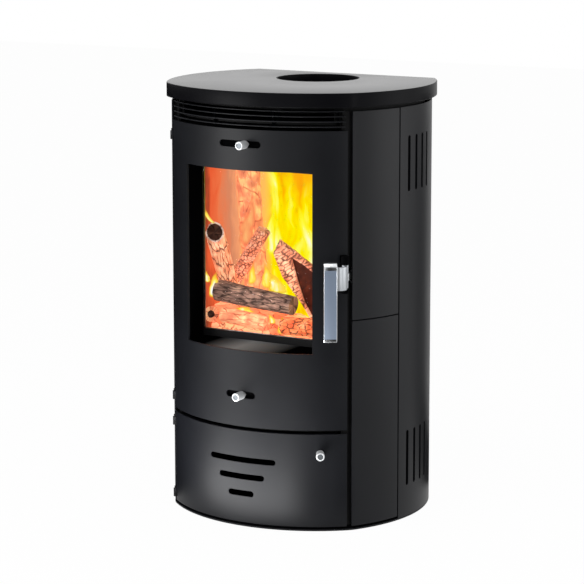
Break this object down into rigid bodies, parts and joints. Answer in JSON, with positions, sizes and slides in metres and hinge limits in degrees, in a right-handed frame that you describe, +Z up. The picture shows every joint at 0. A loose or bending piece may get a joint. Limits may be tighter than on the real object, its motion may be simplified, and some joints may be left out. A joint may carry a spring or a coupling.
{
  "type": "wood stove",
  "caption": "Freestanding D-plan steel wood stove with a curved glazed fire door, curved store door, louvred side shells, sliding air controls and a thick top plate with a flue hole.",
  "frame": {"origin": "centre of the footprint (front knobs' ends to the top plate's back edge) on the floor", "axes": "+Z up, front of the stove towards -Y, +X to the right of someone facing the front"},
  "size_m": [0.519, 0.4391, 0.8374],
  "materials": {
    "stove_paint": "satin black heat-resistant paint",
    "dark_steel": "matt black painted steel, mostly out of sight",
    "cast_iron": "as cast, black",
    "vermiculite": "pressed board, matt, sooty",
    "door_glass": "clear ceramic glass",
    "seal_rope": "knitted glass rope",
    "handle_chrome": "satin chrome",
    "knob_steel": "turned and brushed",
    "zinc_steel": "zinc-plated sheet",
    "log_bark": "bark, half burnt",
    "log_char": "charred split face",
    "embers": "glowing embers"
  },
  "bodies": {
    "case": {"base_plate": "stove_paint", "plinth": "dark_steel", "storage_floor": "dark_steel", "storage_compartment": "dark_steel", "storage_top": "dark_steel", "middle_deck": "dark_steel", "front_post_right": "dark_steel", "front_post_left": "dark_steel", "front_frame": "dark_steel", "firebox_shell": "dark_steel", "firebox_top": "dark_steel", "hearth_plate": "dark_steel", "brick_right": "vermiculite", "brick_left": "vermiculite", "brick_back": "vermiculite", "brick_floor": "vermiculite", "grate": "cast_iron", "baffle_plate": "vermiculite", "log_retainer": "cast_iron", "ash_pan": "zinc_steel", "flue_collar": "cast_iron", "top_deck": "dark_steel", "air_grille": "stove_paint", "top_plate": "stove_paint", "side_panel_lower_right": "stove_paint", "side_panel_lower_left": "stove_paint", "side_panel_upper_right": "stove_paint", "side_panel_upper_left": "stove_paint", "rear_shell_right": "stove_paint", "rear_shell_left": "stove_paint", "back_panel": "stove_paint", "latch_keeper": "zinc_steel", "magnet_catch": "zinc_steel", "ember_bed": "embers", "log_front": "log_bark", "log_left": "log_bark", "log_middle": "log_bark", "log_back": "log_bark", "log_right_small": "log_bark", "log_right_split": "log_char"},
    "main_door": {"door_panel": "stove_paint", "door_liner": "dark_steel", "window_reveal": "dark_steel", "glass_frame": "cast_iron", "door_glass": "door_glass", "glass_retainer": "zinc_steel", "door_seal": "seal_rope", "upper_slide_guide": "dark_steel", "lower_slide_guide": "dark_steel", "handle_bracket": "dark_steel"},
    "upper_air_slide": {"upper_slide_plate": "dark_steel", "upper_knob": "knob_steel"},
    "lower_air_slide": {"lower_slide_plate": "dark_steel", "lower_knob": "knob_steel"},
    "door_handle": {"handle_grip": "handle_chrome", "handle_arm": "handle_chrome", "latch_hook": "zinc_steel"},
    "lower_door": {"lower_door_panel": "stove_paint", "lower_door_knob": "knob_steel"}
  },
  "joints": [
    {"name": "main_door_hinge", "type": "hinge", "parent": "case", "child": "main_door", "pos_m": [-0.19633, -0.11752, 0.48], "axis": [0, 0, -1], "range_deg": [0, 110]},
    {"name": "lower_door_hinge", "type": "hinge", "parent": "case", "child": "lower_door", "pos_m": [-0.19633, -0.11752, 0.099], "axis": [0, 0, -1], "range_deg": [0, 110]},
    {"name": "handle_turn", "type": "hinge", "parent": "main_door", "child": "door_handle", "pos_m": [0.19309, -0.13065, 0.494], "axis": [0, 0, 1], "range_deg": [-6, 16]},
    {"name": "upper_slide_travel", "type": "hinge", "parent": "main_door", "child": "upper_air_slide", "pos_m": [0, 0.09947, 0.738], "axis": [0, 0, 1], "range_deg": [-10.6, 5.1]},
    {"name": "lower_slide_travel", "type": "hinge", "parent": "main_door", "child": "lower_air_slide", "pos_m": [0, 0.09947, 0.258], "axis": [0, 0, 1], "range_deg": [-6.3, 4.3]}
  ]
}
